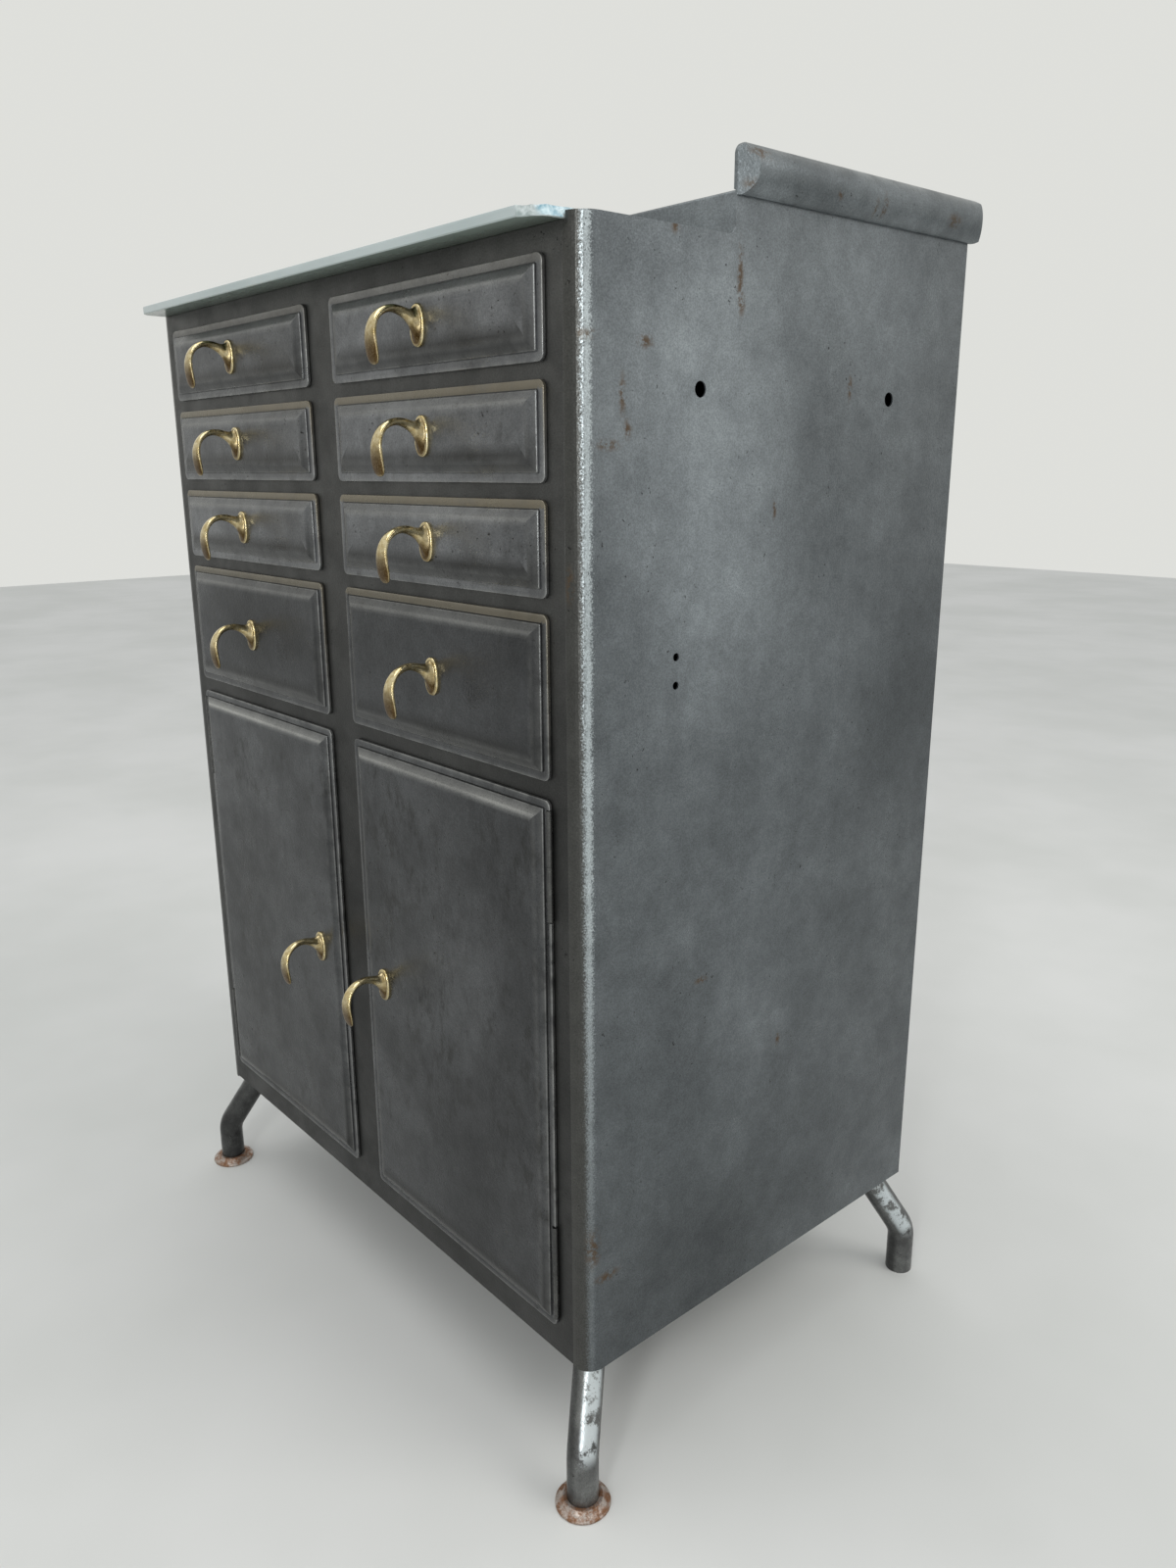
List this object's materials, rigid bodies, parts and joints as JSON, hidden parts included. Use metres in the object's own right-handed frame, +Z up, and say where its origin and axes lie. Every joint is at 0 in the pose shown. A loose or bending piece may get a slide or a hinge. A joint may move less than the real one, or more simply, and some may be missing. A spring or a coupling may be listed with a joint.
{
  "type": "drawer cabinet with worktop",
  "caption": "Free-standing sheet-steel cabinet on bent tube legs: small drawers over hinged doors in two columns, with a glass worktop before a raised rear deck.",
  "frame": {"origin": "on the floor under the centre of the overall box", "axes": "+Z up, the drawers and doors open towards -Y, +X to the right seen from the front"},
  "size_m": [0.7654, 0.5513, 1.1177],
  "materials": {
    "front_steel": "stripped sheet steel, dark and mottled",
    "side_steel": "stripped sheet steel, lighter and cloudy, a little rust",
    "inner_steel": "plain folded sheet steel, dull",
    "cap_steel": "rubbed sheet steel",
    "leg_steel": "rubbed steel tube with rust specks",
    "foot_metal": "worn coppery brown casting",
    "hinge_steel": "worn steel barrels",
    "brass": "aged brass, bright where it is rubbed",
    "glass": "clear pale green plate glass, polished"
  },
  "bodies": {
    "cabinet": {"side_panel_left": "side_steel", "side_panel_right": "side_steel", "face_frame": "front_steel", "back_panel": "side_steel", "bottom_pan": "inner_steel", "top_deck": "side_steel", "centre_partition": "inner_steel", "drawer_dividers": "inner_steel", "runner_uprights": "inner_steel", "runners_left": "inner_steel", "runners_right": "inner_steel", "shelf_left": "inner_steel", "shelf_right": "inner_steel", "shelf_brackets": "inner_steel", "glass_top": "glass", "wing_cap_left": "cap_steel", "wing_cap_right": "cap_steel", "legs_front": "leg_steel", "legs_rear": "leg_steel", "leg_plates": "inner_steel", "feet": "foot_metal", "hinge_frame_leaves": "hinge_steel", "door_catches": "inner_steel"},
    "drawer_left_3": {"drawer_front_left_3": "front_steel", "drawer_box_left_3": "inner_steel", "drawer_pull_left_3": "brass"},
    "drawer_left_2": {"drawer_front_left_2": "front_steel", "drawer_box_left_2": "inner_steel", "drawer_pull_left_2": "brass"},
    "drawer_left_1": {"drawer_front_left_1": "front_steel", "drawer_box_left_1": "inner_steel", "drawer_pull_left_1": "brass"},
    "drawer_left_4": {"drawer_front_left_4": "front_steel", "drawer_box_left_4": "inner_steel", "drawer_pull_left_4": "brass"},
    "door_left": {"door_skin_left": "front_steel", "door_inner_left": "inner_steel", "door_hinge_leaves_left": "hinge_steel", "door_pull_left": "brass"},
    "drawer_right_3": {"drawer_front_right_3": "front_steel", "drawer_box_right_3": "inner_steel", "drawer_pull_right_3": "brass"},
    "drawer_right_2": {"drawer_front_right_2": "front_steel", "drawer_box_right_2": "inner_steel", "drawer_pull_right_2": "brass"},
    "drawer_right_1": {"drawer_front_right_1": "front_steel", "drawer_box_right_1": "inner_steel", "drawer_pull_right_1": "brass"},
    "drawer_right_4": {"drawer_front_right_4": "front_steel", "drawer_box_right_4": "inner_steel", "drawer_pull_right_4": "brass"},
    "door_right": {"door_skin_right": "front_steel", "door_inner_right": "inner_steel", "door_hinge_leaves_right": "hinge_steel", "door_pull_right": "brass"}
  },
  "joints": [
    {"name": "drawer_left_3_slide", "type": "slide", "parent": "cabinet", "child": "drawer_left_3", "axis": [0, -1, 0], "range_m": [0, 0.33]},
    {"name": "drawer_left_2_slide", "type": "slide", "parent": "cabinet", "child": "drawer_left_2", "axis": [0, -1, 0], "range_m": [0, 0.33]},
    {"name": "drawer_left_1_slide", "type": "slide", "parent": "cabinet", "child": "drawer_left_1", "axis": [0, -1, 0], "range_m": [0, 0.33]},
    {"name": "drawer_left_4_slide", "type": "slide", "parent": "cabinet", "child": "drawer_left_4", "axis": [0, -1, 0], "range_m": [0, 0.33]},
    {"name": "door_left_hinge", "type": "hinge", "parent": "cabinet", "child": "door_left", "pos_m": [-0.3173, -0.22395, 0.39875], "axis": [0, 0, -1], "range_deg": [0, 110]},
    {"name": "drawer_right_3_slide", "type": "slide", "parent": "cabinet", "child": "drawer_right_3", "axis": [0, -1, 0], "range_m": [0, 0.33]},
    {"name": "drawer_right_2_slide", "type": "slide", "parent": "cabinet", "child": "drawer_right_2", "axis": [0, -1, 0], "range_m": [0, 0.33]},
    {"name": "drawer_right_1_slide", "type": "slide", "parent": "cabinet", "child": "drawer_right_1", "axis": [0, -1, 0], "range_m": [0, 0.33]},
    {"name": "drawer_right_4_slide", "type": "slide", "parent": "cabinet", "child": "drawer_right_4", "axis": [0, -1, 0], "range_m": [0, 0.33]},
    {"name": "door_right_hinge", "type": "hinge", "parent": "cabinet", "child": "door_right", "pos_m": [0.3173, -0.22395, 0.39875], "axis": [0, 0, 1], "range_deg": [0, 110]}
  ]
}
